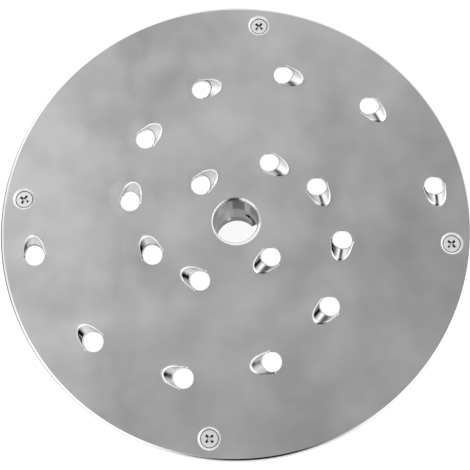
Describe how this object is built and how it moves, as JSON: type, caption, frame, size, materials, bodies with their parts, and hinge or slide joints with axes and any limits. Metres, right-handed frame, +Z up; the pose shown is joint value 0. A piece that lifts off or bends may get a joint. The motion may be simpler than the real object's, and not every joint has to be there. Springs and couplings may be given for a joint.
{
  "type": "shredding disc for a vegetable cutter",
  "caption": "Round stainless shredding disc with hooded holes in spiral arms, screwed to a cast carrier whose bored hub locks on a drive shaft by a bayonet slot.",
  "frame": {"origin": "centre of the hub's lower end, on the axis of the drive bore", "axes": "+Z up the drive bore towards the shredding face; X and Y through the rim screws, Y along the carrier's arms"},
  "size_m": [0.205, 0.205, 0.0364],
  "materials": {
    "plate_stainless": "satin",
    "carrier_alloy": "satin cast, bore turned",
    "screw_steel": "polished"
  },
  "bodies": {
    "root": {"shredding_plate": "plate_stainless", "carrier": "carrier_alloy", "plate_screws": "screw_steel"}
  },
  "joints": []
}
